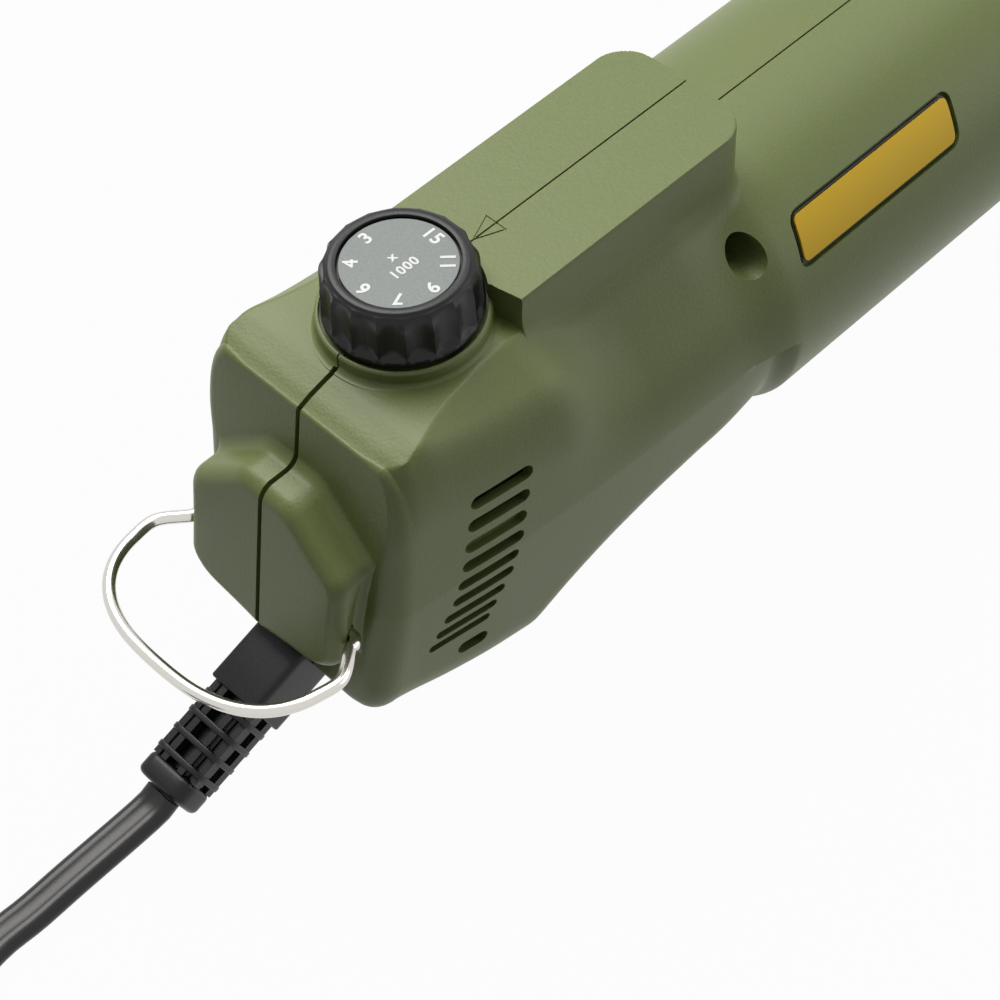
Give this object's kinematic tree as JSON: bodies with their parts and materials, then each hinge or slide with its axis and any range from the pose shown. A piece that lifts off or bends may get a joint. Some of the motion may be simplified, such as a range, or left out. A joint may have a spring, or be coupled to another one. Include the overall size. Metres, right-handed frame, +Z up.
{
  "type": "flexible shaft rotary tool motor unit",
  "caption": "Hang-up motor unit that drives a flexible shaft: two-shell housing with speed dial, cooling slots, wire bail, rear lead with strain relief and a front drive nose.",
  "frame": {"origin": "on the surface that the tool lies on, under the middle of its width and length without the free lead", "axes": "+Y along the motor axis towards the output nose, +Z up towards the speed dial, +X to the tool's right side"},
  "size_m": [0.0562, 0.4793, 0.0814],
  "materials": {
    "housing": "olive moulded plastic, fine satin texture",
    "black_plastic": "satin moulded",
    "lead": "smooth black flex",
    "steel": "turned",
    "nickel_wire": "nickel plated",
    "zinc_casting": "cast and machined",
    "laminations": "stacked sheet",
    "copper_wire": "varnished copper",
    "brass": "pressed",
    "carbon": "pressed carbon",
    "rubber": "matte",
    "grey_plastic": "matte",
    "badge": "yellow, bare",
    "dial_label": "fine speckled satin, white numbers",
    "board": "lacquered board",
    "capacitor": "moulded",
    "rocker": "red"
  },
  "bodies": {
    "housing": {"housing_right": "housing", "housing_left": "housing", "housing_screw_1": "steel", "housing_screw_2": "steel", "housing_screw_3": "steel", "housing_screw_4": "steel", "badge_plate": "badge", "front_flange": "zinc_casting", "flange_screw_1": "steel", "flange_screw_2": "steel", "flange_screw_3": "steel", "flange_screw_4": "steel", "output_nose": "zinc_casting", "stator_core": "laminations", "field_coil_right": "copper_wire", "field_coil_left": "copper_wire", "brush_holder_right": "brass", "brush_holder_left": "brass", "carbon_brush_right": "carbon", "carbon_brush_left": "carbon", "brush_spring_right": "steel", "brush_spring_left": "steel", "rear_bearing": "steel", "front_bearing": "steel", "bearing_bush": "rubber", "control_board": "board", "capacitor": "capacitor", "terminal_block": "grey_plastic", "potentiometer": "grey_plastic", "switch_body": "black_plastic", "inner_lead": "lead", "strain_relief": "black_plastic", "cord": "lead", "cord_hank": "lead", "plug_body": "black_plastic", "plug_pin_right": "steel", "plug_pin_left": "steel", "cord_tail": "lead", "cord_tie": "rubber"},
    "rotor": {"armature_shaft": "steel", "armature_core": "laminations", "armature_winding": "copper_wire", "commutator": "copper_wire", "fan": "grey_plastic", "drive_socket": "steel"},
    "dial": {"dial_knob": "black_plastic", "dial_label": "dial_label", "dial_spindle": "steel"},
    "bail": {"hanging_bail": "nickel_wire"},
    "rocker": {"switch_rocker": "rocker"},
    "collar": {"locking_collar": "steel"}
  },
  "joints": [
    {"name": "rotor_spin", "type": "hinge", "parent": "housing", "child": "rotor", "pos_m": [0, 0, 0.037], "axis": [0, 1, 0], "continuous": true},
    {"name": "dial_turn", "type": "hinge", "parent": "housing", "child": "dial", "pos_m": [0, -0.05702, 0.0719], "axis": [0, 0, 1], "range_deg": [0, 270]},
    {"name": "bail_swing", "type": "hinge", "parent": "housing", "child": "bail", "pos_m": [0, -0.08667, 0.035], "axis": [1, 0, 0], "range_deg": [-95, 50]},
    {"name": "rocker_tilt", "type": "hinge", "parent": "housing", "child": "rocker", "pos_m": [0, -0.03558, 0.00875], "axis": [1, 0, 0], "range_deg": [0, 9]},
    {"name": "collar_slide", "type": "slide", "parent": "housing", "child": "collar", "axis": [0, -1, 0], "range_m": [0, 0.004], "stiffness_N_per_m": 400}
  ]
}
